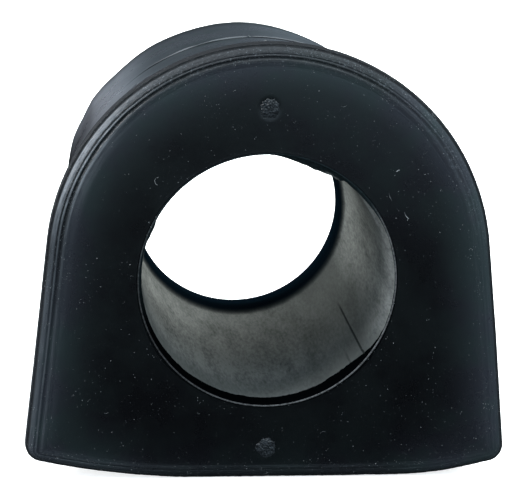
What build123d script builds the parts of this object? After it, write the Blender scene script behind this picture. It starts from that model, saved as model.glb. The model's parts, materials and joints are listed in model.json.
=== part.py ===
from build123d import *
import os
from math import cos, radians, sin, sqrt

# A moulded rubber bushing that holds a stabiliser bar in its strap. Millimetres, +Z up.
# It stands on its base at z = 0, the bore runs along Y and the flanged end faces -Y.

# Overall form
length = 46.0
bore_height = 21.5
arch_height = 22.95

# Arch, side walls and base of the flange's outline
flange_r = 23.2
side_splay = 6.3
corner_r = 1.5
base_flat_width = 15.0
base_curve_r = 82.0

# Flange, and the narrower body that the strap closes over
flange_thickness = 2.5
body_step = 1.45
body_corner_r = 1.2
front_edge_r = 0.9
flange_back_edge_r = 0.4
rear_edge_r = 0.9

# Groove left round the front face by the mould's end plate
groove_inset = 1.25
groove_base_inset = 0.8
groove_corner_r = 0.5
groove_width = 0.35
groove_depth = 0.2

# Bore: a narrow land at each end grips the bar, and the wall between them has draft
bore_r = 13.0
mouth_r = 13.37
lead_in_length = 2.0
land_length = 1.5
relief_r = 13.7
ramp_length = 2.8

# Parting ridge where the two mould halves meet
ridge_height = 0.1
ridge_width = 0.3

# Gate marks: a torn nub standing in a shallow dimple, above and below the bore
gate_offset = 18.0
dimple_r = 1.3
dimple_depth = 0.35
nub_r = 0.8
nub_height = 0.3

front_y = -length / 2
rear_y = length / 2


def across(y):
    """Plane across the bore at y, seen from the front, with +Z up."""
    return Plane(origin=(0, y, 0), x_dir=(1, 0, 0), z_dir=(0, -1, 0))


def outline(inset, base_inset, low_corner_r):
    """The D outline, moved in from the flange's by inset at the arch and sides and base_inset below."""
    radius = flange_r - inset
    lean = radians(side_splay)
    tangent = Vector(radius * cos(lean), arch_height + radius * sin(lean))
    down = Vector(sin(lean), -cos(lean))
    flat_end = Vector(base_flat_width / 2, base_inset)
    curve_centre = flat_end + Vector(0, base_curve_r)
    reach = tangent - curve_centre
    along = reach.dot(down)
    drop = sqrt(along ** 2 - reach.dot(reach) + base_curve_r ** 2) - along
    corner = tangent + down * drop
    toward_corner = (corner - curve_centre).normalized()
    toward_flat = Vector(0, -1)
    middle = curve_centre + (toward_corner + toward_flat).normalized() * base_curve_r
    top = Vector(0, arch_height + radius)
    mirrored = [Vector(-point.X, point.Y) for point in (tangent, corner, middle, flat_end)]
    left_tangent, left_corner, left_middle, left_flat = mirrored
    edges = [
        ThreePointArc(tangent, top, left_tangent),
        Line(left_tangent, left_corner),
        ThreePointArc(left_corner, left_middle, left_flat),
        Line(left_flat, flat_end),
        ThreePointArc(flat_end, middle, corner),
        Line(corner, tangent),
    ]
    face = make_face(edges)
    low_corners = [v for v in face.vertices() if abs(abs(v.X) - corner.X) < low_corner_r / 10]
    return fillet(low_corners, low_corner_r)


def slab(sketch, y, thickness):
    """A solid of the sketch's shape, from y forwards."""
    return extrude(across(y) * sketch, thickness)


def outer_edges(solid, along_y):
    """The edges round the solid's frontmost face, along_y = 0, or its rearmost, along_y = -1."""
    return solid.faces().sort_by(Axis.Y)[along_y].outer_wire().edges()


def make_flange():
    flange = slab(outline(0, 0, corner_r), front_y + flange_thickness, flange_thickness)
    flange = fillet(outer_edges(flange, 0), front_edge_r)
    return fillet(outer_edges(flange, -1), flange_back_edge_r)


def make_body():
    reach = length - flange_thickness / 2
    body = slab(outline(body_step, 0, body_corner_r), rear_y, reach)
    return fillet(outer_edges(body, -1), rear_edge_r)


def make_parting_ridge():
    """The ridge stands on the arch and the sides and fades into the base."""
    ridge = outline(body_step - ridge_height, 0, body_corner_r)
    return slab(ridge, ridge_width / 2, ridge_width)


def make_rim_groove():
    outer = outline(groove_inset, groove_base_inset, groove_corner_r)
    inner = outline(groove_inset + groove_width, groove_base_inset + groove_width, groove_corner_r)
    return slab(outer - inner, front_y + groove_depth, groove_depth)


def make_bore():
    """Between the lands the wall opens slowly towards the rear, then a ramp closes it to the rear land."""
    front_land = front_y + lead_in_length
    rear_land = rear_y - lead_in_length
    points = [
        (0, front_y),
        (mouth_r, front_y),
        (bore_r, front_land),
        (bore_r, front_land + land_length),
        (relief_r, rear_land - land_length - ramp_length),
        (bore_r, rear_land - land_length),
        (bore_r, rear_land),
        (mouth_r, rear_y),
        (0, rear_y),
    ]
    section = make_face(Polyline(*points, close=True))
    return Pos(0, 0, bore_height) * revolve(section, Axis.Y)


def make_gate_mark(z):
    """A ring-shaped cut that leaves the torn nub standing in its dimple."""
    dimple = slab(Pos(0, z) * Circle(dimple_r), front_y + dimple_depth, dimple_depth)
    nub = slab(Pos(0, z) * Circle(nub_r), front_y + dimple_depth, nub_height)
    return dimple - nub


def make_bushing():
    bushing = make_flange() + make_body() + make_parting_ridge()
    bushing -= make_bore()
    bushing -= make_rim_groove()
    for side in (1, -1):
        bushing -= make_gate_mark(bore_height + side * gate_offset)
    return bushing


os.makedirs("parts", exist_ok=True)
bushing = make_bushing()
bushing.label = "bushing"
export_step(bushing, "parts/bushing.step")
print("solids", len(bushing.solids()), "volume", round(bushing.volume), "box", bushing.bounding_box())
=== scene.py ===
import json
import math
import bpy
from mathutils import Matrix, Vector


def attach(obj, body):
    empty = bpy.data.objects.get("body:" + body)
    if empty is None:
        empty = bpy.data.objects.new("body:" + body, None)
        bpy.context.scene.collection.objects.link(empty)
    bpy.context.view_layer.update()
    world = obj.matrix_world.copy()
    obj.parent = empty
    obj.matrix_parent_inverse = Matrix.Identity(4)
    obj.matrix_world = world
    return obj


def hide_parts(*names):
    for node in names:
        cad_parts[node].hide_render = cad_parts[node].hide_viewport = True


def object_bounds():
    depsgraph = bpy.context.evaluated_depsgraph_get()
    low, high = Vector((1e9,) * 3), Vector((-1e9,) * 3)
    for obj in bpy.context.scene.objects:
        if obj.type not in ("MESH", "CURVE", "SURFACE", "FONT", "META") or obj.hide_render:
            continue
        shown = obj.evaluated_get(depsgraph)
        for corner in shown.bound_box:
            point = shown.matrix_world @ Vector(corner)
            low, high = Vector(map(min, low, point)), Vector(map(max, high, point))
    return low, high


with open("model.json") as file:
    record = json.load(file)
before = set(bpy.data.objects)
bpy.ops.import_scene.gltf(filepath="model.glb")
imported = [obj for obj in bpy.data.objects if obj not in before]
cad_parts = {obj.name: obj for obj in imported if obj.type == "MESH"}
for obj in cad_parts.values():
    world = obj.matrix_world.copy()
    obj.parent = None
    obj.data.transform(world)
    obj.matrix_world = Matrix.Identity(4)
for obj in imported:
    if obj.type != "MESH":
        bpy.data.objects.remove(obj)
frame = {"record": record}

from types import SimpleNamespace

import bpy
import numpy as np
from mathutils import Matrix, Vector, noise

# The bushing itself: one moulding in black rubber, a D-shaped body with a low flange round
# its front end and a through bore. It was squeezed into a two-part mould, trimmed by hand
# and has the dull, slightly greasy skin that such rubber gets.
MM = 0.001
cad_low, cad_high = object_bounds()
bore_mount = next(m for m in frame["record"]["mounts"] if m["name"] == "bore")
bore_z = bore_mount["pos_m"][2]
bore_r = bore_mount["dims"]["r_mm"] * MM
front_y = cad_low.y
rear_y = cad_high.y
arch_z = 22.95 * MM
flange_r = cad_high.z - arch_z

side_lean = math.radians(6.3)
corner_r = 1.9 * MM
base_flat = 15.0 * MM
base_curve_r = 82.0 * MM
flange_depth = 2.5 * MM
body_step = 1.45 * MM
body_corner_r = 1.2 * MM
rear_round = 0.9 * MM
mouth_r = 13.3 * MM
mouth_round = 0.09 * MM
lead_in = 2.0 * MM
land = 1.5 * MM
relief_r = 13.7 * MM
ramp = 2.8 * MM
lip_y = front_y + lead_in
ramp_y = rear_y - lead_in - land - ramp

# The moulding is a little uneven. Its outline lies off the bore's axis, its rear end leans to
# the left, its right side spreads, and its base hangs lower on the right: how far, in mm, by x.
outline_x = 0.17 * MM
bore_x = -0.13 * MM
rear_shift = 0.22 * MM
right_spread = 0.16 * MM
base_drop = [(-24, -0.3), (-9, 0), (10.5, 0), (15.7, 0.3), (18.5, 0.36), (21.3, 0.26), (23.5, 0.16)]

ARCH_STEPS = 140
SIDE_STEPS = 40
CORNER_STEPS = 9
CURVE_STEPS = 28
FLAT_STEPS = 16
FACE_ROWS = 40


def swing(centre, radius, start, end, steps):
    """Points along an arc from one angle to another, leaving the last one out."""
    angles = np.linspace(start, end, steps, endpoint=False)
    return np.column_stack([centre[0] + radius * np.cos(angles), centre[1] + radius * np.sin(angles)])


def stretch(start, end, steps):
    """Points along a straight line, leaving the last one out."""
    share = np.linspace(0, 1, steps, endpoint=False)[:, None]
    return np.asarray(start) * (1 - share) + np.asarray(end) * share


def d_outline(inset, base_inset, corner):
    """The D outline seen from the front, moved in at arch and sides by inset and below by base_inset."""
    radius = flange_r - inset
    out = np.array([math.cos(side_lean), math.sin(side_lean)])
    down = np.array([math.sin(side_lean), -math.cos(side_lean)])
    tangent = np.array([0, arch_z]) + out * radius
    curve_centre = np.array([base_flat / 2, base_inset + base_curve_r])
    reach = tangent - out * corner - curve_centre
    along = reach @ down
    gap = math.sqrt(along ** 2 - reach @ reach + (base_curve_r - corner) ** 2) - along
    corner_centre = tangent - out * corner + down * gap
    spoke = corner_centre - curve_centre
    low_angle = math.atan2(spoke[1], spoke[0])
    right = np.vstack([
        swing((0, arch_z), radius, math.pi / 2, side_lean, ARCH_STEPS),
        stretch(tangent, corner_centre + out * corner, SIDE_STEPS),
        swing(corner_centre, corner, side_lean, low_angle, CORNER_STEPS),
        swing(curve_centre, base_curve_r, low_angle, -math.pi / 2, CURVE_STEPS),
        stretch((base_flat / 2, base_inset), (0, base_inset), FLAT_STEPS),
    ])
    bottom = np.array([[0, base_inset]])
    left = right[:0:-1] * [-1, 1]
    return np.vstack([right, bottom, left])


def soften(points, passes):
    """Round a section's corners by cutting each one back to a quarter of its two runs."""
    points = [np.array(point, float) for point in points]
    for _ in range(passes):
        cut = [points[0]]
        for start, end in zip(points, points[1:]):
            cut += [start * 0.75 + end * 0.25, start * 0.25 + end * 0.75]
        points = cut + [points[-1]]
    return points


# Inset and depth, in mm, of the rim's corners from the face outwards: the groove round the
# face, a finer second groove, the rounded front edge and the trimmed ledge outside it.
rim_groove = [(2.0, 0.0), (1.71, 0.0), (1.6, 0.15), (1.46, 0.15), (1.35, 0.03)]
second_groove = [(1.24, 0.03), (1.16, 0.12), (1.08, 0.085), (1.02, 0.085)]
rounded_edge = [(0.9, 0.13), (0.62, 0.27), (0.45, 0.48)]
trimmed_ledge = [(0.2, 0.51), (0.12, 0.6), (0.0, 1.3), (0.0, 1.7)]
rim_section = soften(rim_groove + second_groove + rounded_edge + trimmed_ledge, 1)
plain_section = [(0.9, 0.13), (1.35, 0.03), (2.0, 0.0)]
base_share = 0.65
ledge_inset = 0.42
grooved_inset = 1.4
ledge_wear = 0.03 * MM
rim_wear = 0.05 * MM
face_inset = 2.0 * MM
face_back = 0.05 * MM
face_fall = 0.2 * MM
fall_width = 5.5 * MM
back_round = 0.4 * MM
back_rows = 5
crease_r = 0.15 * MM
rear_rows = 7
rear_face_rows = 10


def shift_at(y):
    """How far the leaning rear end has carried a place along the bore to the left."""
    return -rear_shift * (y - front_y) / (rear_y - front_y)


def ring(inset, base_inset, corner, y):
    """The outline as it came from the mould, at one place along the bore."""
    x, z = d_outline(inset, base_inset, corner).T
    low = np.interp(z, [6 * MM, 12 * MM], [1, 0])
    drop = np.interp(x / MM, *zip(*base_drop)) * MM * low
    spread = right_spread * np.clip(x / flange_r, 0, 1) * np.interp(z, [16 * MM, 32 * MM], [1, 0])
    return np.column_stack([x + spread + outline_x + shift_at(y), np.full(len(x), y), z - drop])


def arch_angle(x, z):
    """Degrees round the arch: 0 on the right, 90 at the top, 180 on the left and on down to 270."""
    return (math.degrees(math.atan2(z - arch_z, x - outline_x)) + 90) % 360 - 90


def grooves_left(x, z):
    """The share of the grooves that shows: all of them over the top, some at the left, few elsewhere."""
    right = np.interp(z, [27 * MM, 38 * MM], [0.1, 1.0])
    left = np.interp(z, [4 * MM, 24 * MM, 36 * MM], [0.3, 0.55, 1.0])
    below = np.interp(x, [-21 * MM, -13 * MM], [1.0, 0.12]) if z < 3 * MM else 1.0
    return min(right if x > 0 else left, below)


def worn_at(x, z):
    """How ragged the rim is at a place: most over the top and down the upper left."""
    angle = arch_angle(x, z)
    return np.interp(angle, [50, 85, 150, 185], [0.1, 1.0, 1.0, 0.3])


def rim_rings():
    """From the edge of the front face, over the grooves and the rounded rim, to the flange's back."""
    rings = []
    for inset, depth in rim_section:
        corner = max(corner_r - inset * MM, 0.12 * MM)
        points = ring(inset * MM, base_share * inset * MM, corner, front_y + face_fall)
        plain = np.interp(inset, *zip(*plain_section)) if inset > plain_section[0][0] else depth
        for point in points:
            share = grooves_left(point[0], point[2])
            point[1] += (plain + (depth - plain) * share) * MM
            if 0 < inset < ledge_inset:
                point[1] += ledge_wear * noise.noise(Vector(point) * 1300)
            if ledge_inset < inset < grooved_inset:
                point[1] += rim_wear * worn_at(point[0], point[2]) * noise.noise(Vector(point) * 2300)
        rings.append(points)
    for angle in np.linspace(0, math.pi / 2, back_rows):
        inset = back_round * (1 - math.cos(angle))
        y = front_y + flange_depth - back_round * (1 - math.sin(angle))
        rings.append(ring(inset, 0, corner_r - inset / 3, y))
    return rings


# How far the trimmed rear edge swells or dips, in mm, by angle round the arch in degrees.
rear_swell = [(60, 0), (110, 0), (122, 0.03), (132, -0.06), (137, -0.02), (142, 0.2), (148, 0.4),
              (155, 0.3), (162, 0.44), (170, 0.3), (180, 0.2), (205, 0)]


def rear_wobble(x, z, y):
    """The rear edge isn't true: it swells and dips a little round the arch."""
    angle = arch_angle(x, z)
    swell = np.interp(angle, *zip(*rear_swell))
    waves = 0.05 * math.sin(math.radians(angle) * 9) + 0.04 * noise.noise(Vector((x, y, z)) * 160)
    near_rear = max(0.0, (y - front_y) / (rear_y - front_y)) ** 2
    return (swell + waves) * MM * near_rear


ridge_height = 0.17 * MM
ridge_half_width = 0.18 * MM
ridge_reach = 0.7 * MM
ridge_wander = 0.14 * MM
ridge_notch_angle = 92.0


def parting_ridge(x, z, y):
    """The line where the two mould halves met: low, uneven, broken at the top and faded at the base."""
    angle = arch_angle(x, z)
    low = min(1.0, max(0.0, (z - 4 * MM) / (8 * MM)))
    uneven = 0.9 + 0.45 * noise.noise(Vector((x, 7, z)) * 420)
    broken = 1 - 0.9 * math.exp(-((angle - ridge_notch_angle) / 0.9) ** 2)
    worn = np.interp(angle, [112, 134, 175, 200], [1.0, 0.12, 0.12, 0.8])
    return ridge_height * low * uneven * broken * worn * math.exp(-(y / ridge_half_width) ** 2)


def body_rings():
    """The body behind the flange, its rounded rear edge, and the rear face down to the bore."""
    rings = [ring(body_step - crease_r, 0, body_corner_r, front_y + flange_depth)]
    start, end = front_y + flange_depth + crease_r, rear_y - rear_round
    near_ridge = np.array([-0.5, -0.3, -0.2, -0.14, -0.09, -0.04, 0, 0.04, 0.09, 0.14, 0.2, 0.3, 0.5]) * MM
    for y in np.concatenate([np.linspace(start, -MM, 13), near_ridge, np.linspace(MM, end, 14)]):
        rings.append(ring(body_step, 0, body_corner_r, y))
    for angle in np.linspace(0, math.pi / 2, rear_rows)[1:]:
        inset = rear_round * (1 - math.cos(angle))
        corner = max(body_corner_r - inset, 0.2 * MM)
        rings.append(ring(body_step + inset, inset, corner, end + rear_round * math.sin(angle)))
    for points in rings:
        for point in points:
            if point[2] > 2 * MM:
                x, y, z = point
                away = Vector((x - outline_x, z - arch_z)).normalized()
                grow = rear_wobble(x, z, y) + parting_ridge(x, z, y)
                point[0] += away.x * grow
                point[2] += away.y * grow
                if abs(y) < ridge_reach:
                    point[1] += ridge_wander * noise.noise(Vector((x, 0, z)) * 220)
    return rings


def bore_ring(radius, y, angles):
    x = bore_x + shift_at(y) + radius * np.cos(angles)
    return np.column_stack([x, np.full(len(angles), y), bore_z + radius * np.sin(angles)])


# Seams left on the bore's wall by the core: angle in degrees, depth, and where along Y each one ends.
bore_seams = [(-37.2, 0.09 * MM, -23.0 * MM, 2.0 * MM), (-45.2, 0.04 * MM, -19.5 * MM, -13.9 * MM)]
seam_width = 0.09 * MM

# Torn flash on the front lip: how far it stands into the bore, in mm, by angle in degrees.
lip_tears = [(-62, 0), (-58, 0.1), (-46, 0.08), (-43, 0), (-39.6, 0), (-39.2, 0.14), (-38.4, 0.05),
             (-37, 0.12), (-30, 0.12), (-22, 0.16), (-15, 0.05), (-3, 0.07), (0, 0), (24, 0.02),
             (27, 0.2), (38, 0.14), (41, 0), (52.5, 0), (54, 0.3), (58.6, 0.34), (67, 0.62), (77.7, 0.38),
             (84, 0.14), (90, 0), (152, 0), (155, 0.16), (161, 0.1), (163, 0)]


def lip_flash(angle):
    """How far the torn flash on the front lip stands into the bore at an angle."""
    degrees = math.degrees(angle)
    reach = np.interp(degrees, *zip(*lip_tears))
    ragged = 1 + 0.35 * noise.noise(Vector((degrees * 0.22, 3, 0)))
    burr = 0.04 * max(0.0, noise.noise(Vector((degrees * 0.9, 8, 0))))
    return (reach * ragged + burr) * MM


def seam_cut(angle, radius, y):
    """How deep the core's seams lie in the wall at a place."""
    cut = 0.0
    for degrees, depth, start, end in bore_seams:
        across = (angle - math.radians(degrees)) * radius / seam_width
        ends = max(0.0, min(1.0, (y - start) / MM, (end - y) / (2 * MM)))
        cut = max(cut, depth * ends * math.exp(-across ** 2))
    return cut


def bore_rings(angles):
    """The bore's wall from the rear mouth to the front: lead-in, land, ramp, drafted wall, land, lead-in."""
    mouth = [(mouth_r + mouth_round + 0.04 * MM, face_back)]
    for turn in np.radians([0, 25, 50, 70, 85]):
        edge_r = mouth_r + mouth_round * (1 - math.sin(turn))
        mouth.append((edge_r, face_back + mouth_round * (1 - math.cos(turn))))
    mouth += [(mouth_r - 0.08 * MM, lead_in * 0.27), (mouth_r - 0.2 * MM, lead_in * 0.65)]
    profile = [(r, rear_y - d) for r, d in mouth]
    profile += [(bore_r + 0.02 * MM, rear_y - lead_in * 0.95), (bore_r, rear_y - lead_in - 0.2 * MM),
                (bore_r, rear_y - lead_in - land * 0.8)]
    for share in np.linspace(0, 1, 10):
        ease = share * share * (3 - 2 * share)
        profile.append((bore_r + (relief_r - bore_r) * ease, ramp_y + ramp * (1 - share)))
    for share in np.linspace(0, 1, 26)[1:]:
        radius = relief_r + (bore_r - relief_r) * share
        profile.append((radius, ramp_y + (lip_y + land - ramp_y) * share))
    profile += [(bore_r, lip_y + 0.7 * MM), (bore_r, lip_y + 0.25 * MM), (bore_r, lip_y + 0.08 * MM)]
    lip_row = len(profile)
    profile += [(bore_r, lip_y), (bore_r + 0.02 * MM, lip_y - 0.06 * MM),
                (bore_r + 0.05 * MM, lip_y - 0.2 * MM)]
    profile += [(r, front_y + d) for r, d in reversed(mouth)]
    rings = []
    for row, (radius, y) in enumerate(profile):
        points = bore_ring(radius, y, angles)
        on_lip = {lip_row - 1: 0.45, lip_row: 1.0, lip_row + 1: 0.75}.get(row, 0.0)
        on_wall = 1.0 if radius > bore_r and lip_y < y < ramp_y else 0.0
        for point, angle in zip(points, angles):
            seam = seam_cut(angle, radius, y)
            ripple = 0.03 * MM * noise.noise(Vector((point[0] * 90, y * 50, point[2] * 90)))
            move = seam + on_wall * ripple - on_lip * lip_flash(angle)
            point[0] += math.cos(angle) * move
            point[2] += math.sin(angle) * move
        rings.append(points)
    return rings


gate_offset = 18.0 * MM
dimple_r = 1.2 * MM
dimple_depth = 0.07 * MM
gate_places = [Vector((-0.32 * MM, 0, bore_z + gate_offset)), Vector((0.06 * MM, 0, bore_z - gate_offset))]


def face_dent(x, z):
    """How far the front face lies behind its true plane: faint waviness, and the two gate dimples."""
    waves = 0.025 * MM * (0.5 + 0.5 * noise.noise(Vector((x, 0, z)) * 110))
    dent = 0.0
    for place in gate_places:
        reach = (Vector((x, 0, z)) - place).length / dimple_r
        dent = max(dent, dimple_depth * max(0.0, min(1.0, (1.0 - reach) * 4)))
    return face_back + waves + dent


def between(inner, outer, rows):
    """Rings spread evenly between two rings, leaving both of them out."""
    return [inner * (1 - share) + outer * share for share in np.linspace(0, 1, rows + 2)[1:-1]]


def nearest(points, others):
    """How far each point is from the nearest of the others, seen from the front."""
    return np.hypot(points[:, None, 0] - others[:, 0], points[:, None, 2] - others[:, 2]).min(axis=1)


def face_rings(mouth, edge):
    """The front face, which falls back towards its edge, and how far each point is from that edge."""
    rings, gaps = between(mouth, edge, FACE_ROWS), []
    corner_at = ARCH_STEPS + SIDE_STEPS + CORNER_STEPS // 2
    below, around = edge[corner_at:-corner_at], np.vstack([edge[:corner_at], edge[-corner_at:]])
    for points in rings:
        low, wide = nearest(points, below), nearest(points, around)
        gap = low * wide / np.hypot(low, wide)
        fall = face_fall * np.maximum(0, 1 - gap / fall_width) ** 2
        for point, drop in zip(points, fall):
            point[1] = front_y + drop + face_dent(point[0], point[2])
        gaps.append(gap + face_inset)
    return rings, gaps


def link_piece(name, mesh):
    piece = bpy.data.objects.new(name, mesh)
    bpy.context.scene.collection.objects.link(piece)
    return piece


def closed_mesh(name, rings):
    """One closed skin: each ring joins the next and the last joins the first."""
    count = len(rings[0])
    index = np.arange(len(rings) * count).reshape(len(rings), count)
    below, beside = np.roll(index, -1, axis=0), np.roll(index, -1, axis=1)
    corner = np.roll(below, -1, axis=1)
    quads = np.stack([index, beside, corner, below], axis=-1).reshape(-1, 4)
    mesh = bpy.data.meshes.new(name)
    mesh.from_pydata(np.vstack(rings).tolist(), [], quads.tolist())
    mesh.polygons.foreach_set("use_smooth", [True] * len(mesh.polygons))
    mesh.validate()
    return link_piece(name, mesh)


rim = rim_rings()
body = body_rings()
angles = np.arctan2(rim[0][:, 2] - bore_z, rim[0][:, 0] - bore_x)
bore = bore_rings(angles)
face, face_gaps = face_rings(bore[-1], rim[0])
rear_face = between(body[-1], bore[0], rear_face_rows)
bushing = closed_mesh("bushing_moulding", face + rim + body + rear_face + bore)

# The bore's wall, from mouth to mouth, takes the second of the two materials.
ring_size = len(rim[0])
outer_quads = (len(face) + len(rim) + len(body) + len(rear_face)) * ring_size
bore_quads = (len(bore) - 1) * ring_size
kinds = [0] * outer_quads + [1] * bore_quads + [0] * ring_size
bushing.data.polygons.foreach_set("material_index", kinds)


def per_ring(name, values):
    """A number for each point of the skin, given ring by ring as one number or as one for each point."""
    layer = bushing.data.attributes.new(name, "FLOAT", "POINT")
    layer.data.foreach_set("value", np.concatenate([np.broadcast_to(value, ring_size) for value in values]))


# What the materials need to know: how far each point of the front is from the outer edge, which
# points are in the bore, on the parting ridge, or on the trimmed ledge and the flange's side.
far = 20 * MM
flange_rows = len(rim) - len(rim_section)
rim_gaps = [inset * MM for inset, depth in rim_section] + [far] * flange_rows
per_ring("from_edge", face_gaps + rim_gaps + [far] * (len(body) + len(rear_face) + len(bore)))
per_ring("in_bore", [0.0] * (len(face) + len(rim) + len(body) + len(rear_face)) + [1.0] * len(bore))
on_ridge = [np.array([parting_ridge(x, z, y) for x, y, z in points]) / ridge_height for points in body]
plain_after = [0.0] * (len(rear_face) + len(bore))
per_ring("on_ridge", [0.0] * (len(face) + len(rim)) + on_ridge + plain_after)
cut_back = [float(0 <= inset < ledge_inset) for inset, depth in rim_section] + [1.0] * flange_rows
per_ring("trimmed", [0.0] * len(face) + cut_back + [0.0] * len(body) + plain_after)


def new_material(name):
    material = bpy.data.materials.new(name)
    material.use_nodes = True
    shader = material.node_tree.nodes["Principled BSDF"]
    return material, material.node_tree, shader


def add(tree, kind, **settings):
    """A node of one kind in the tree; settings name its properties or its input sockets."""
    node = tree.nodes.new(kind)
    for key, value in settings.items():
        if hasattr(node, key):
            setattr(node, key, value)
        else:
            node.inputs[key.replace("_", " ")].default_value = value
    return node


def feed(tree, slot, value):
    """Give an input socket a number, a tone or the output of another node."""
    if isinstance(value, (int, float)):
        slot.default_value = value
    elif isinstance(value, tuple):
        slot.default_value = value + (1,)
    else:
        tree.links.new(value, slot)


def maths(tree, operation, level, *others):
    """Sockets and numbers put together by one operation, from left to right."""
    for other in others:
        node = add(tree, "ShaderNodeMath", operation=operation)
        feed(tree, node.inputs[0], level)
        feed(tree, node.inputs[1], other)
        level = node.outputs["Value"]
    return level


def times(tree, *levels):
    """Levels multiplied together."""
    return maths(tree, "MULTIPLY", *levels)


def fade(tree, value, start, end, low=0.0, high=1.0):
    """Rises smoothly from low to high while the value goes from start to end."""
    node = add(tree, "ShaderNodeMapRange", From_Min=start, From_Max=end, To_Min=low, To_Max=high)
    node.interpolation_type = "SMOOTHSTEP"
    tree.links.new(value, node.inputs["Value"])
    return node.outputs["Result"]


def graded(tree, place, stops):
    """A brightness by place: stops are pairs of place and brightness, lowest place first."""
    level = None
    for (start, low), (end, high) in zip(stops, stops[1:]):
        step = fade(tree, place, start, end, 0.0, high - low)
        level = maths(tree, "ADD", low if level is None else level, step)
    return level


def cloud(tree, place, size, detail, roughness):
    """Noise whose patches are about the given size, in metres."""
    node = add(tree, "ShaderNodeTexNoise", Scale=1 / size, Detail=detail, Roughness=roughness)
    tree.links.new(place, node.inputs["Vector"])
    return node.outputs["Fac"]


def blend_tones(tree, amount, dark, pale):
    """A colour between two tones, by an amount from 0 to 1. Either tone may be a socket."""
    node = add(tree, "ShaderNodeMix", data_type="RGBA")
    for slot, value in ((0, amount), (6, dark), (7, pale)):
        feed(tree, node.inputs[slot], value)
    return node.outputs[2]


def blend_levels(tree, amount, low, high):
    """A number between two others, by an amount from 0 to 1. Either may be a socket."""
    node = add(tree, "ShaderNodeMix", data_type="FLOAT")
    for slot, value in ((0, amount), (2, low), (3, high)):
        feed(tree, node.inputs[slot], value)
    return node.outputs[0]


def bumped(tree, height, strength, distance, under=None):
    """A bump from a height, laid over another bump where one is given."""
    node = add(tree, "ShaderNodeBump", Distance=distance)
    feed(tree, node.inputs["Strength"], strength)
    tree.links.new(height, node.inputs["Height"])
    if under is not None:
        tree.links.new(under, node.inputs["Normal"])
    return node.outputs["Normal"]


skin_dark, skin_pale = (0.0011, 0.0009, 0.0014), (0.0010, 0.0019, 0.0020)
# Painted sheen on the face towards its outer edge, violet to green.
sheen_violet, sheen_green = (0.030, 0.033, 0.043), (0.024, 0.038, 0.040)
# Pale bloom with painted highlights on the rim's edges, and a painted near-white shine at the upper left.
veil_and_highlight_tone, painted_shine_tone = (0.045, 0.050, 0.056), (0.21, 0.22, 0.235)
trim_dark, trim_pale = (0.003, 0.003, 0.004), (0.013, 0.016, 0.020)
crumb_tone = (0.10, 0.11, 0.12)
# Painted highlight along the top of the parting ridge.
ridge_highlight_tone = (0.12, 0.125, 0.13)
# Bare rubber in the bore, with painted reflections: greyer above, blue at the rear.
bare_tone, painted_upper_reflection_tone = (0.0005, 0.0007, 0.0009), (0.016, 0.024, 0.027)
painted_rear_reflection_tone = (0.0015, 0.0040, 0.0064)
# Painted highlight on the rounded edge of the front mouth.
mouth_highlight_tone = (0.11, 0.11, 0.11)
bloom_dark, bloom_pale = (0.044, 0.048, 0.046), (0.150, 0.156, 0.151)
seam_tone = (0.004, 0.005, 0.005)
skin_specular, bloom_specular = 0.5, 0.0

# The veil's strength by distance from the outer edge in mm, a pale bloom with painted highlights: pale on
# the rounded edge and on the sharp edges between the grooves, none on the trimmed ledge or in the grooves.
veil_and_highlight_bands = [(0.38, 0.0), (0.48, 1.0), (0.86, 0.8), (0.98, 0.0), (1.06, 0.0), (1.16, 0.9), (1.26, 0.9),
              (1.38, 0.0), (1.66, 0.0), (1.8, 0.9), (1.9, 0.8), (2.05, 0.25), (3.2, 0.0)]


def read_skin(tree):
    """What the skin's tones go by: its place, the marks on the mesh, and clouds of several sizes."""
    place = add(tree, "ShaderNodeTexCoord").outputs["Object"]
    parts = add(tree, "ShaderNodeSeparateXYZ")
    tree.links.new(place, parts.inputs["Vector"])
    skin = SimpleNamespace(place=place, x=parts.outputs["X"], y=parts.outputs["Y"], z=parts.outputs["Z"])
    for name in ("from_edge", "in_bore", "on_ridge", "trimmed"):
        setattr(skin, name, add(tree, "ShaderNodeAttribute", attribute_name=name).outputs["Fac"])
    skin.patches = cloud(tree, place, 6 * MM, 5.0, 0.6)
    skin.smudges = cloud(tree, place, 9 * MM, 4.0, 0.65)
    skin.ragged = cloud(tree, place, 0.8 * MM, 3.0, 0.7)
    skin.pores = cloud(tree, place, 0.6 * MM, 2.0, 0.5)
    skin.chips = cloud(tree, place, 0.26 * MM, 3.0, 0.8)
    skin.grain = cloud(tree, place, 0.13 * MM, 3.0, 0.75)
    drawn_out = add(tree, "ShaderNodeCombineXYZ")
    run = 0.06
    for slot, value in enumerate((times(tree, skin.x, run), times(tree, skin.z, run), skin.from_edge)):
        feed(tree, drawn_out.inputs[slot], value)
    skin.streaks = cloud(tree, drawn_out.outputs["Vector"], 0.22 * MM, 4.0, 0.75)
    skin.torn_edge = times(tree, fade(tree, skin.from_edge, 2.6 * MM, 1.2 * MM),
                           fade(tree, skin.z, 22 * MM, 36 * MM))
    return skin


def rim_bloom_and_highlights(tree, skin):
    """Pale bloom and painted highlights on the rim's edges: strongest at the lit left, streaky, and thinner
    by the base.
    """
    bands = graded(tree, skin.from_edge, [(place * MM, level) for place, level in veil_and_highlight_bands])
    streaky = fade(tree, skin.streaks, 0.3, 0.62, 0.3, 1.0)
    leftwards = fade(tree, skin.x, -3 * MM, -18 * MM, 0.15, 1.0)
    off_base = fade(tree, skin.z, MM, 5 * MM, 0.4, 1.0)
    return times(tree, bands, streaky, off_base, leftwards)


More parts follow.
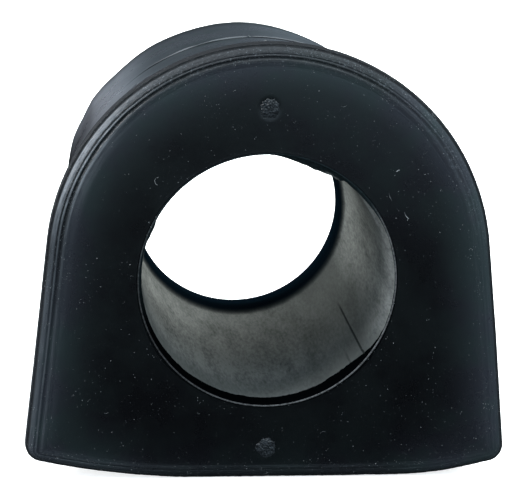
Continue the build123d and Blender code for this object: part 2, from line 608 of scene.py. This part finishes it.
def painted_rim_sheen(tree, skin):
    """Painted sheen where the face falls back towards its edge: paler up the arch and the sides, fainter by
    the base.
    """
    wide = maths(tree, "POWER", fade(tree, skin.from_edge, 10 * MM, -1 * MM), 2.4)
    upwards = fade(tree, skin.z, 4 * MM, 30 * MM, 0.25, 1.0)
    sidewards = fade(tree, maths(tree, "ABSOLUTE", skin.x, 0.0), 8 * MM, 20 * MM, 0.0, 0.9)
    rightwards = fade(tree, skin.x, 8 * MM, 16 * MM)
    unscored = fade(tree, skin.z, 32 * MM, 10 * MM, 0.0, 0.8)
    inside_rim = fade(tree, skin.from_edge, 1.7 * MM, 2.1 * MM)
    off_base = fade(tree, skin.z, 0.0, 6 * MM, 0.65, 1.0)
    glow = times(tree, wide, maths(tree, "MAXIMUM", upwards, sidewards),
                 maths(tree, "MAXIMUM", rightwards, inside_rim, unscored), off_base)
    corner_way = maths(tree, "ADD", times(tree, skin.x, 0.7), skin.z)
    return maths(tree, "MAXIMUM", glow, fade(tree, corner_way, 32 * MM, 48 * MM, 0.0, 0.2))


def outside_tone(tree, skin):
    """Black skin, faint clouds, painted sheen, bloom and painted highlights, crumbs over the top, the ledge,
    the ridge.
    """
    tone = blend_tones(tree, fade(tree, skin.patches, 0.35, 0.65), skin_dark, skin_pale)
    # Painted sheen: the face is drawn paler towards its edge, more at the top and the sides.
    sheen_tone = blend_tones(tree, fade(tree, skin.patches, 0.4, 0.6), sheen_violet, sheen_green)
    tone = blend_tones(tree, painted_rim_sheen(tree, skin), tone, sheen_tone)
    # Painted highlight: the rim's edges at the upper left are drawn near white.
    shine_spot = times(tree, fade(tree, skin.x, -13 * MM, -19 * MM), fade(tree, skin.z, 24 * MM, 34 * MM))
    pale = blend_tones(tree, shine_spot, veil_and_highlight_tone, painted_shine_tone)
    tone = blend_tones(tree, rim_bloom_and_highlights(tree, skin), tone, pale)
    crumbs = times(tree, skin.torn_edge, fade(tree, skin.chips, 0.56, 0.68))
    tone = blend_tones(tree, crumbs, tone, crumb_tone)
    trim_tone = blend_tones(tree, fade(tree, skin.grain, 0.5, 0.75), trim_dark, trim_pale)
    tone = blend_tones(tree, skin.trimmed, tone, trim_tone)
    # Painted highlight: the parting ridge is drawn pale along its top.
    ridge_top_highlight = times(tree, skin.on_ridge, fade(tree, skin.z, 30 * MM, 38 * MM))
    return blend_tones(tree, fade(tree, ridge_top_highlight, 0.2, 0.65), tone, ridge_highlight_tone)


def bare_bore_tone(tree, skin):
    """The bore's bare rubber: black, with painted reflections greyer above and blue at the rear, and a
    painted highlight round the mouth.
    """
    # Painted reflection: the upper part of the bore is drawn greyer.
    reflected_above = times(tree, fade(tree, skin.z, bore_z - 6 * MM, bore_z + 5 * MM),
                  fade(tree, skin.chips, 0.3, 0.7, 0.3, 1.0))
    tone = blend_tones(tree, reflected_above, bare_tone, painted_upper_reflection_tone)
    # Painted reflection: the rear of the bore is drawn blue.
    tone = blend_tones(tree, fade(tree, skin.y, 0.0, ramp_y), tone, painted_rear_reflection_tone)
    # Painted highlight: a pale line along the lower edge of the front mouth.
    mouth_highlight = times(tree, fade(tree, skin.y, front_y + 0.13 * MM, front_y + 0.08 * MM),
                       fade(tree, skin.z, bore_z + 9 * MM, bore_z + 5 * MM),
                       fade(tree, skin.x, -13 * MM, 2 * MM, 0.4, 1.0),
                       fade(tree, skin.chips, 0.35, 0.6, 0.35, 1.0))
    return blend_tones(tree, mouth_highlight, tone, mouth_highlight_tone)


def bloom_cover(tree, skin):
    """Where the bloom lies: on the wall from the torn edge of the lip to the ramp, not under the top."""
    torn = times(tree, maths(tree, "SUBTRACT", skin.ragged, 0.5), 0.5 * MM)
    narrow_right = fade(tree, skin.x, 8.5 * MM, 12.3 * MM, 0.0, 1.7 * MM)
    past_lip = fade(tree, maths(tree, "ADD", skin.y, torn, narrow_right), lip_y - 0.1 * MM, lip_y)
    before_ramp = fade(tree, skin.y, ramp_y + 1.5 * MM, ramp_y - 1.0 * MM)
    below_top = fade(tree, skin.z, bore_z + 12.5 * MM, bore_z + 10.5 * MM)
    return times(tree, skin.in_bore, past_lip, before_ramp, below_top)


def bloom_tone(tree, skin):
    """Grey powder with runs and speckle along the bore, with painted shade by the front mouth and at the
    lower right, and the seams.
    """
    stretched = add(tree, "ShaderNodeVectorMath", operation="MULTIPLY")
    stretched.inputs[1].default_value = (1, 0.22, 1)
    tree.links.new(skin.place, stretched.inputs[0])
    sand = cloud(tree, stretched.outputs["Vector"], 0.3 * MM, 2.0, 0.7)
    runs = cloud(tree, stretched.outputs["Vector"], 2.2 * MM, 3.0, 0.6)
    speckle = times(tree, maths(tree, "SUBTRACT", sand, 0.5), 1.8)
    # Painted shade: the powder is drawn darker by the front mouth and at the lower right. It is palest about
    # 12 mm in and duller towards the ramp.
    painted_light_along = graded(tree, skin.y, [(front_y + 3 * MM, 0.28), (front_y + 12 * MM, 1.0), (ramp_y, 0.5)])
    painted_light = times(tree, painted_light_along, fade(tree, skin.x, 11 * MM, MM, 0.3, 1.0))
    kept = fade(tree, skin.z, bore_z - 9 * MM, bore_z - 2 * MM, 0.0, 0.8)
    powder = maths(tree, "ADD", fade(tree, runs, 0.3, 0.65, 0.5, 1.0), speckle)
    powder = times(tree, maths(tree, "MAXIMUM", painted_light, kept), powder)
    tone = blend_tones(tree, powder, bloom_dark, bloom_pale)
    around = maths(tree, "ARCTAN2", maths(tree, "SUBTRACT", skin.z, bore_z),
                   maths(tree, "SUBTRACT", skin.x, bore_x))
    deepest = bore_seams[0][1]
    for degrees, depth, start, end in bore_seams:
        off = maths(tree, "ABSOLUTE", maths(tree, "SUBTRACT", around, math.radians(degrees)), 0.0)
        on_seam = times(tree, fade(tree, off, 0.014, 0.005, 0.0, 0.8 * depth / deepest),
                        fade(tree, skin.y, end, end - 6 * MM))
        tone = blend_tones(tree, on_seam, tone, seam_tone)
    return tone


def skin_roughness(tree, skin, bloom):
    """Satin all over, and duller at the rear, on torn and trimmed rubber and on the bloom."""
    rough = fade(tree, skin.patches, 0.3, 0.7, 0.26, 0.33)
    at_rear = fade(tree, skin.y, rear_y - 8 * MM, rear_y - MM)
    torn_top = times(tree, skin.torn_edge, fade(tree, skin.x, -17 * MM, -9 * MM))
    on_bloom = fade(tree, skin.smudges, 0.35, 0.65, 0.6, 0.75)
    for mask, level in ((at_rear, 0.5), (torn_top, 0.6), (skin.trimmed, 0.75), (skin.in_bore, 0.1),
                        (bloom, on_bloom)):
        rough = blend_levels(tree, mask, rough, level)
    return rough


def make_rubber(name, specular):
    """The moulding's rubber: bare black skin, with grey bloom on the bore's wall."""
    material, tree, shader = new_material(name)
    skin = read_skin(tree)
    bloom = bloom_cover(tree, skin)
    in_bore = fade(tree, skin.in_bore, 0.85, 1.0)
    bare = blend_tones(tree, in_bore, outside_tone(tree, skin), bare_bore_tone(tree, skin))
    tone = blend_tones(tree, bloom, bare, bloom_tone(tree, skin))
    bumps = bumped(tree, skin.grain, 0.4, 0.015 * MM)
    bumps = bumped(tree, skin.pores, 0.3, 0.015 * MM, bumps)
    scores = maths(tree, "ADD", skin.streaks, times(tree, skin.chips, skin.torn_edge))
    bumps = bumped(tree, scores, fade(tree, skin.from_edge, 3.2 * MM, 1.2 * MM), 0.07 * MM, bumps)
    tree.links.new(tone, shader.inputs["Base Color"])
    tree.links.new(skin_roughness(tree, skin, bloom), shader.inputs["Roughness"])
    tree.links.new(bumps, shader.inputs["Normal"])
    shader.inputs["IOR"].default_value = 1.5
    shader.inputs["Specular IOR Level"].default_value = specular
    return material


rubber = make_rubber("moulded_rubber", skin_specular)
bushing.data.materials.append(rubber)
bushing.data.materials.append(make_rubber("powdery_bore", bloom_specular))

# Gate marks: where the sprues were snapped off, a rough nub of torn rubber stands in each
# dimple, above and below the bore. It is the same rubber, dull and pitted where it tore.
nub_r = 1.0 * MM
nub_height = 0.14 * MM
torn_dark, torn_pale = (0.003, 0.004, 0.005), (0.027, 0.031, 0.036)


def torn_nub(place, seed):
    """A low mound with a pitted, torn top."""
    bpy.ops.mesh.primitive_ico_sphere_add(subdivisions=5, radius=1.0)
    mound = bpy.context.object
    foot_y = front_y + face_back + dimple_depth
    for vertex in mound.data.vertices:
        spot = vertex.co.copy()
        lumps = 0.26 * noise.noise(spot * 2.3 + Vector((seed, 0, 0)))
        pits = 0.4 * noise.noise(spot * 6.0 + Vector((0, seed, 0)))
        pits += 0.16 * noise.noise(spot * 14 + Vector((0, 0, seed)))
        spread = nub_r * (0.95 + lumps + 0.25 * pits)
        rise = nub_height * min(0.75 + 1.6 * (lumps + pits), 1.5)
        vertex.co = Vector((place.x + spot.x * spread, foot_y + spot.y * rise, place.z + spot.z * spread))
    mound.data.polygons.foreach_set("use_smooth", [True] * len(mound.data.polygons))
    return mound


def joined(parts, name):
    """Loose parts made into one mesh object."""
    bpy.ops.object.select_all(action="DESELECT")
    for part in parts:
        part.select_set(True)
    bpy.context.view_layer.objects.active = parts[0]
    bpy.ops.object.convert(target="MESH")
    bpy.ops.object.join()
    whole = bpy.context.object
    whole.name = name
    return whole


nub_seeds = (4.0, 11.0)
gate_nubs = joined([torn_nub(place, seed) for place, seed in zip(gate_places, nub_seeds)], "gate_nubs")


def make_torn_rubber():
    """Torn rubber: greyer than the moulded skin, dull and grainy."""
    material, tree, shader = new_material("torn_rubber")
    link = tree.links.new
    crumb = cloud(tree, add(tree, "ShaderNodeTexCoord").outputs["Object"], 0.2 * MM, 4.0, 0.7)
    link(blend_tones(tree, fade(tree, crumb, 0.46, 0.66), torn_dark, torn_pale), shader.inputs["Base Color"])
    link(fade(tree, crumb, 0.3, 0.7, 0.3, 0.5), shader.inputs["Roughness"])
    link(bumped(tree, crumb, 0.4, 0.03 * MM), shader.inputs["Normal"])
    return material


gate_nubs.data.materials.append(make_torn_rubber())
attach(gate_nubs, "root")

# Flash: a thin ragged fin of rubber that squeezed out between the mould's end plate and its
# halves. It was cut back by hand and still runs round the ledge outside the rounded edge.
flash_inset = 0.2 * MM
flash_depth = face_fall + 0.51 * MM
flash_r = 0.028 * MM
flash_waver = 0.1 * MM
flash_steps = 2600


def new_tree(name, inputs):
    """A geometry tree with one input of each named kind, and its group input and output nodes."""
    tree = bpy.data.node_groups.new(name, "GeometryNodeTree")
    tree.interface.new_socket("Geometry", in_out="INPUT", socket_type="NodeSocketGeometry")
    for label, kind in inputs.items():
        tree.interface.new_socket(label, in_out="INPUT", socket_type="NodeSocket" + kind)
    tree.interface.new_socket("Geometry", in_out="OUTPUT", socket_type="NodeSocketGeometry")
    return tree, add(tree, "NodeGroupInput"), add(tree, "NodeGroupOutput")


def grown(source, tree, values, name):
    """Run a tree on an object and keep what it makes as a plain mesh of its own."""
    modifier = source.modifiers.new(tree.name, "NODES")
    modifier.node_group = tree
    for item in tree.interface.items_tree:
        if item.in_out == "INPUT" and item.name in values:
            modifier[item.identifier] = values[item.name]
    depsgraph = bpy.context.evaluated_depsgraph_get()
    mesh = bpy.data.meshes.new_from_object(source.evaluated_get(depsgraph))
    mesh.name = name
    source.modifiers.remove(modifier)
    return link_piece(name, mesh)


def wire(tree, *runs):
    """Links between nodes, each given as a node, its output, the next node and its input."""
    for source, output, target, into in runs:
        tree.links.new(source.outputs[output], target.inputs[into])


def finish_tree(tree, shape, material, output):
    """Smooth, make real and paint what the tree made."""
    smooth = add(tree, "GeometryNodeSetShadeSmooth")
    real = add(tree, "GeometryNodeRealizeInstances")
    paint = add(tree, "GeometryNodeSetMaterial", Material=material)
    tree.links.new(shape, smooth.inputs["Geometry"])
    wire(tree, (smooth, "Geometry", real, "Geometry"), (real, "Geometry", paint, "Geometry"),
         (paint, "Geometry", output, "Geometry"))


def noise_field(tree, size, seed, detail=2.0):
    """Noise by place, about -0.5 to 0.5 with 0 in the middle."""
    node = add(tree, "ShaderNodeTexNoise", noise_dimensions="4D", W=seed, Scale=1 / size, Detail=detail)
    tree.links.new(add(tree, "GeometryNodeInputPosition").outputs["Position"], node.inputs["Vector"])
    middle = add(tree, "ShaderNodeVectorMath", operation="SUBTRACT")
    middle.inputs[1].default_value = (0.5, 0.5, 0.5)
    tree.links.new(node.outputs["Color"], middle.inputs[0])
    return node.outputs["Fac"], middle.outputs["Vector"]


def ragged_fin_tree():
    """A thin ribbon along the given loop, whose thickness and path waver as a cut edge does."""
    tree, given, output = new_tree("ragged_fin", {"Steps": "Int", "Radius": "Float", "Waver": "Float"})
    curve = add(tree, "GeometryNodeMeshToCurve")
    even = add(tree, "GeometryNodeResampleCurve")
    thick = add(tree, "GeometryNodeSetCurveRadius")
    shift = add(tree, "GeometryNodeSetPosition")
    fin = add(tree, "GeometryNodeCurveToMesh")
    section = add(tree, "GeometryNodeCurvePrimitiveCircle", Resolution=6)
    lift = add(tree, "ShaderNodeMapRange", From_Min=0.42, From_Max=0.68, To_Min=0.15, To_Max=2.2)
    scaled = add(tree, "ShaderNodeVectorMath", operation="SCALE")
    amount, _ = noise_field(tree, 1.1 * MM, 2.0, 4.0)
    _, wander = noise_field(tree, 0.5 * MM, 5.0, 3.0)
    tree.links.new(amount, lift.inputs["Value"])
    tree.links.new(wander, scaled.inputs[0])
    wire(tree, (given, "Geometry", curve, "Mesh"), (curve, "Curve", even, "Curve"),
         (given, "Steps", even, "Count"), (even, "Curve", thick, "Curve"),
         (lift, "Result", thick, "Radius"), (thick, "Curve", shift, "Geometry"),
         (given, "Waver", scaled, "Scale"), (scaled, "Vector", shift, "Offset"),
         (shift, "Geometry", fin, "Curve"), (given, "Radius", section, "Radius"),
         (section, "Curve", fin, "Profile Curve"))
    finish_tree(tree, fin.outputs["Mesh"], rubber, output)
    return tree


def loop_of(name, points):
    """A closed loop of edges for a tree to follow."""
    mesh = bpy.data.meshes.new(name)
    count = len(points)
    mesh.from_pydata([tuple(point) for point in points], [(i, (i + 1) % count) for i in range(count)], [])
    return link_piece(name, mesh)


ledge_loop = ring(flash_inset, base_share * flash_inset, corner_r - flash_inset, front_y + flash_depth)
guide = loop_of("flash_guide", ledge_loop)
fin_values = {"Steps": flash_steps, "Radius": flash_r, "Waver": flash_waver}
edge_flash = grown(guide, ragged_fin_tree(), fin_values, "edge_flash")
bpy.data.objects.remove(guide)
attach(edge_flash, "root")

# Dust: fine pale grit and short lint from the bench. It clings to the greasy skin of the face,
# in patches, and gathers most by the rim.
grit_size = 0.03 * MM
grit_per_m2 = 4000000.0
lint_r = 0.024 * MM
lint_per_m2 = 40000.0
rim_share = 5.0
dust_dark, dust_pale = (0.03, 0.033, 0.036), (0.28, 0.29, 0.29)


def make_dust():
    """Pale grey house dust."""
    material, tree, shader = new_material("dust")
    place = add(tree, "ShaderNodeTexCoord").outputs["Object"]
    shade = fade(tree, cloud(tree, place, 1.2 * MM, 2.0, 0.5), 0.42, 0.7)
    tree.links.new(blend_tones(tree, shade, dust_dark, dust_pale), shader.inputs["Base Color"])
    shader.inputs["Roughness"].default_value = 0.8
    return material


dust = make_dust()


def facing_front(tree):
    """True on faces that look forwards."""
    normal = add(tree, "GeometryNodeInputNormal").outputs["Normal"]
    toward = add(tree, "ShaderNodeVectorMath", operation="DOT_PRODUCT")
    toward.inputs[1].default_value = (0, -1, 0)
    tree.links.new(normal, toward.inputs[0])
    compare = add(tree, "FunctionNodeCompare", data_type="FLOAT", operation="GREATER_THAN")
    compare.inputs["B"].default_value = 0.6
    tree.links.new(toward.outputs["Value"], compare.inputs["A"])
    return compare.outputs["Result"]


def scatter(tree, given, shape, seed, low, high):
    """Instances of a shape strewn over the faces that look forwards, thicker in patches and by the rim."""
    strewn = add(tree, "GeometryNodeDistributePointsOnFaces", distribute_method="RANDOM", Seed=seed)
    placed = add(tree, "GeometryNodeInstanceOnPoints")
    size = add(tree, "FunctionNodeRandomValue", data_type="FLOAT", Seed=seed + 1)
    spin = add(tree, "FunctionNodeRandomValue", data_type="FLOAT", Seed=seed + 2, Max=2 * math.pi)
    turn = add(tree, "FunctionNodeRotateRotation", rotation_space="LOCAL")
    about = add(tree, "FunctionNodeAxisAngleToRotation", Axis=(0, 0, 1))
    gap = add(tree, "GeometryNodeInputNamedAttribute", data_type="FLOAT", Name="from_edge")
    patchy, _ = noise_field(tree, 5 * MM, seed + 0.5)
    by_rim = fade(tree, gap.outputs["Attribute"], 3.4 * MM, 1.6 * MM, 1.0, rim_share)
    density = times(tree, fade(tree, patchy, 0.38, 0.66, 0.15, 1.0), by_rim, given.outputs["Density"])
    few_large = maths(tree, "POWER", size.outputs["Value"], 3.0)
    tree.links.new(facing_front(tree), strewn.inputs["Selection"])
    tree.links.new(density, strewn.inputs["Density"])
    tree.links.new(shape, placed.inputs["Instance"])
    tree.links.new(fade(tree, few_large, 0.0, 1.0, low, high), placed.inputs["Scale"])
    wire(tree, (given, "Geometry", strewn, "Mesh"), (strewn, "Points", placed, "Points"),
         (strewn, "Rotation", turn, "Rotation"), (spin, "Value", about, "Angle"),
         (about, "Rotation", turn, "Rotate By"), (turn, "Rotation", placed, "Rotation"))
    return placed.outputs["Instances"]


def grit_tree():
    """Flattened specks."""
    tree, given, output = new_tree("grit", {"Density": "Float", "Size": "Float"})
    ball = add(tree, "GeometryNodeMeshIcoSphere", Subdivisions=1)
    flat = add(tree, "GeometryNodeTransform", Scale=(1.3, 0.8, 0.35))
    wire(tree, (given, "Size", ball, "Radius"), (ball, "Mesh", flat, "Geometry"))
    finish_tree(tree, scatter(tree, given, flat.outputs["Geometry"], 3, 0.35, 1.6), dust, output)
    return tree


def lint_tree():
    """Short bowed fibres."""
    tree, given, output = new_tree("lint", {"Density": "Float", "Radius": "Float"})
    bow = add(tree, "GeometryNodeCurvePrimitiveBezierSegment", Resolution=8)
    for socket, spot in (("Start", (-0.5, 0, 0.01)), ("Start Handle", (-0.2, 0.25, 0.02)),
                         ("End Handle", (0.2, 0.25, 0.02)), ("End", (0.5, -0.05, 0.01))):
        bow.inputs[socket].default_value = Vector(spot) * MM
    section = add(tree, "GeometryNodeCurvePrimitiveCircle", Resolution=5)
    fibre = add(tree, "GeometryNodeCurveToMesh", Fill_Caps=True)
    wire(tree, (given, "Radius", section, "Radius"), (bow, "Curve", fibre, "Curve"),
         (section, "Curve", fibre, "Profile Curve"))
    finish_tree(tree, scatter(tree, given, fibre.outputs["Mesh"], 8, 0.2, 0.65), dust, output)
    return tree


grit = grown(bushing, grit_tree(), {"Density": grit_per_m2, "Size": grit_size}, "dust_grit")
lint = grown(bushing, lint_tree(), {"Density": lint_per_m2, "Radius": lint_r}, "dust_lint")
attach(grit, "root")
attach(lint, "root")

# Hairs and crumbs: the few that stand out singly, each a thin thread or speck half sunk in the
# greasy skin. Each has its radius and its points in mm: x and z on the face, x and y on the top.
on_face = [
    (0.016, [(-11.51, 32.39), (-11.76, 32.36), (-11.9, 32.08), (-11.83, 31.77), (-11.6, 31.62)]),
    (0.045, [(-12.48, 27.78), (-12.42, 27.7)]),
    (0.045, [(-12.27, 27.33), (-12.18, 27.2)]),
    (0.045, [(-13.76, 31.22), (-13.69, 31.16)]),
    (0.042, [(12.85, 33.14), (13.0, 33.24), (13.18, 33.31)]),
    (0.022, [(15.58, 34.93), (15.8, 35.02), (16.04, 35.22)]),
    (0.018, [(12.16, 30.91), (12.28, 30.49), (12.5, 30.07)]),
    (0.04, [(13.85, 28.87), (13.97, 28.56), (14.3, 28.21)]),
    (0.035, [(14.04, 29.41), (14.1, 29.36)]),
    (0.035, [(14.66, 30.52), (14.71, 30.47)]),
    (0.035, [(12.96, 28.3), (13.03, 28.27)]),
    (0.04, [(18.05, 34.9), (18.12, 34.82)]),
    (0.045, [(19.48, 32.5), (19.54, 32.4)]),
    (0.055, [(19.66, 32.2), (19.77, 32.06)]),
    (0.035, [(20.2, 30.26), (20.34, 30.16)]),
    (0.035, [(20.5, 29.88), (20.57, 29.8)]),
    (0.04, [(20.95, 29.22), (21.02, 29.12)]),
    (0.04, [(21.1, 28.65), (21.14, 28.55)]),
]
on_top = [
    (0.06, [(-0.53, -12.44), (-0.25, -11.2), (-0.01, -9.89), (0.45, -6.4), (0.9, -2.94)]),
    (0.04, [(0.9, -2.94), (1.09, -4.23), (1.41, -6.36)]),
    (0.03, [(-0.99, -12.87), (-0.53, -12.44)]),
    (0.03, [(-0.55, 3.28), (-0.5, 1.6), (-0.54, 0.58)]),
]


def strand(points, thick):
    """A hair or crumb as a thin tube along points on the skin."""
    curve = bpy.data.curves.new("strand", "CURVE")
    curve.dimensions = "3D"
    curve.bevel_depth = thick * MM
    curve.bevel_resolution = 1
    curve.use_fill_caps = True
    line = curve.splines.new("POLY")
    line.points.add(len(points) - 1)
    for spot, point in zip(line.points, points):
        spot.co = (*point, 1)
    return link_piece("strand", curve)


def laid_out(groups, origin, towards):
    """Strands dropped on to the skin from the front or from above."""
    made = []
    for thick, spots in groups:
        starts = [Vector((origin(x, other))) for x, other in spots]
        places = [bushing.ray_cast(start, towards)[1] for start in starts]
        made.append(strand(places, thick))
    return made


bpy.context.view_layer.update()
strands = laid_out(on_face, lambda x, z: (x * MM, 2 * front_y, z * MM), Vector((0, 1, 0)))
strands += laid_out(on_top, lambda x, y: (x * MM, y * MM, 2 * cad_high.z), Vector((0, 0, -1)))
hairs = joined(strands, "hairs")
hairs.data.materials.clear()
hairs.data.materials.append(dust)
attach(hairs, "root")

# The moulding's own calls come last, because the dust was grown on it and the hairs laid on it.
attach(bushing, "root")
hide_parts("bushing")

# The floor and the ground behind it are one plain sweep of paper. To the camera it is white,
# with the bushing's soft shadow on it.
paper_tone = 0.8
room_tone = 0.3
paper_glow = 0.75


def show_camera(tree, others, seen, output):
    """Give the camera one shader and every other ray another; returns the camera's mask."""
    is_camera = add(tree, "ShaderNodeLightPath").outputs["Is Camera Ray"]
    choose = add(tree, "ShaderNodeMixShader")
    for slot, value in zip(choose.inputs, (is_camera, others, seen)):
        tree.links.new(value, slot)
    tree.links.new(choose.outputs["Shader"], tree.nodes[output].inputs["Surface"])
    return is_camera


def make_paper():
    material, tree, shader = new_material("white_paper")
    shader.inputs["Roughness"].default_value = 0.9
    glow = add(tree, "ShaderNodeEmission", Strength=paper_glow)
    both = add(tree, "ShaderNodeAddShader")
    tree.links.new(shader.outputs["BSDF"], both.inputs[0])
    tree.links.new(glow.outputs["Emission"], both.inputs[1])
    is_camera = show_camera(tree, shader.outputs["BSDF"], both.outputs["Shader"], "Material Output")
    tree.links.new(fade(tree, is_camera, 0.0, 1.0, room_tone, paper_tone), shader.inputs["Base Color"])
    return material


floor_size = 3.0
bpy.ops.mesh.primitive_plane_add(size=floor_size, location=(0, 0, 0))
floor = bpy.context.object
floor.name = "paper_floor"
floor.data.materials.append(make_paper())
floor.visible_glossy = False

# Light: a bright window high on the left, a broad soft sky above, two dull fills that shine
# into the bore's rear end, and a dim room: behind the bushing brightest low on the left, in
# front of it dark below and a little blue above.
behind_glow, behind_haze, behind_low_sky = 1.95, 0.52, 0.31
front_ground, front_floor, front_sky, side_glow = 0.15, 0.004, 0.8, 0.2


def make_world():
    world = bpy.data.worlds.new("studio")
    bpy.context.scene.world = world
    world.use_nodes = True
    tree = world.node_tree
    parts = add(tree, "ShaderNodeSeparateXYZ")
    tree.links.new(add(tree, "ShaderNodeTexCoord").outputs["Generated"], parts.inputs["Vector"])
    sideways, forwards, height = parts.outputs["X"], parts.outputs["Y"], parts.outputs["Z"]
    low_band = graded(tree, height, [(0.02, 0.0), (0.07, behind_glow), (0.12, behind_glow), (0.18, 0.0)])
    low_band = times(tree, low_band, fade(tree, sideways, -0.11, -0.26))
    sky_band = graded(tree, height, [(0.06, 0.0), (0.14, behind_haze), (0.22, behind_low_sky), (0.42, 0.0)])
    across = graded(tree, sideways, [(-0.25, 1.2), (-0.02, 0.7), (0.06, 0.75), (0.2, 1.7)])
    behind = maths(tree, "ADD", low_band, times(tree, sky_band, across))
    front = graded(tree, height, [(-0.8, front_ground), (-0.42, front_floor), (-0.2, front_floor),
                                  (0.2, front_sky)])
    aside = maths(tree, "ABSOLUTE", maths(tree, "SUBTRACT", sideways, 0.1), 0.0)
    front = maths(tree, "ADD", front, fade(tree, aside, 0.2, 0.6, 0.0, side_glow))
    is_behind = fade(tree, forwards, -0.15, 0.35)
    behind_tint = blend_tones(tree, fade(tree, height, 0.0, 0.2), (1.0, 0.97, 1.1), (0.76, 1.0, 1.2))
    room = tree.nodes["Background"]
    tree.links.new(blend_tones(tree, is_behind, (0.78, 1.03, 1.22), behind_tint), room.inputs["Color"])
    tree.links.new(blend_levels(tree, is_behind, front, behind), room.inputs["Strength"])
    white = add(tree, "ShaderNodeBackground", Strength=1.0)
    white.inputs["Color"].default_value = (1, 1, 1, 1)
    show_camera(tree, room.outputs["Background"], white.outputs["Background"], "World Output")


make_world()
aim = Vector((0, 0, (cad_low.z + cad_high.z) / 2))


def soft_lamp(name, direction, distance, size, power, tint, mirrored=True):
    """A round lamp that looks at the bushing's middle."""
    lamp = bpy.data.lights.new(name, "AREA")
    lamp.shape = "DISK"
    lamp.size = size
    lamp.energy = power
    lamp.color = tint
    holder = bpy.data.objects.new(name, lamp)
    bpy.context.scene.collection.objects.link(holder)
    direction = Vector(direction).normalized()
    holder.visible_glossy = mirrored
    holder.location = aim + direction * distance
    holder.rotation_euler = direction.to_track_quat("Z", "Y").to_euler()


soft_lamp("window_left", (-0.82, -0.2, 0.54), 0.6, 0.2, 3.4, (0.97, 0.97, 1.0))
soft_lamp("sky_above", (0.27, -0.22, 0.93), 0.7, 0.55, 3.8, (0.9, 0.97, 1.0))
soft_lamp("fill_left", (-0.6, 0.8, 0.05), 0.6, 0.5, 12.0, (0.97, 1.0, 0.98), mirrored=False)
soft_lamp("fill_right", (0.55, 0.8, 0.28), 0.6, 0.5, 13.5, (0.97, 1.0, 0.98), mirrored=False)

# The camera stands in front of the flanged end, a little to the left and above, at the
# photograph's viewing angle. Its place is counted from the middle of the bore.
image_width = 527
focal_pixels = 1635.2
from_bore = Vector((-16.07, -186.6, 39.09)) * MM
yaw, pitch, roll = math.radians(5.376), math.radians(12.253), math.radians(1.239)
camera_data = bpy.data.cameras.new("camera")
camera_data.sensor_width = 36.0
camera_data.lens = focal_pixels * camera_data.sensor_width / image_width
camera_data.clip_start = 0.01
camera = bpy.data.objects.new("camera", camera_data)
bpy.context.scene.collection.objects.link(camera)
forward = Vector((math.sin(yaw) * math.cos(pitch), math.cos(yaw) * math.cos(pitch), -math.sin(pitch)))
level_right = Vector((math.cos(yaw), -math.sin(yaw), 0))
level_up = level_right.cross(forward)
right = level_right * math.cos(roll) + level_up * math.sin(roll)
up = level_up * math.cos(roll) - level_right * math.sin(roll)
turn = Matrix((right, up, -forward)).transposed().to_4x4()
turn.translation = from_bore + Vector((0, 0, bore_z))
camera.matrix_world = turn
bpy.context.scene.camera = camera
bpy.context.scene.view_settings.view_transform = "Standard"
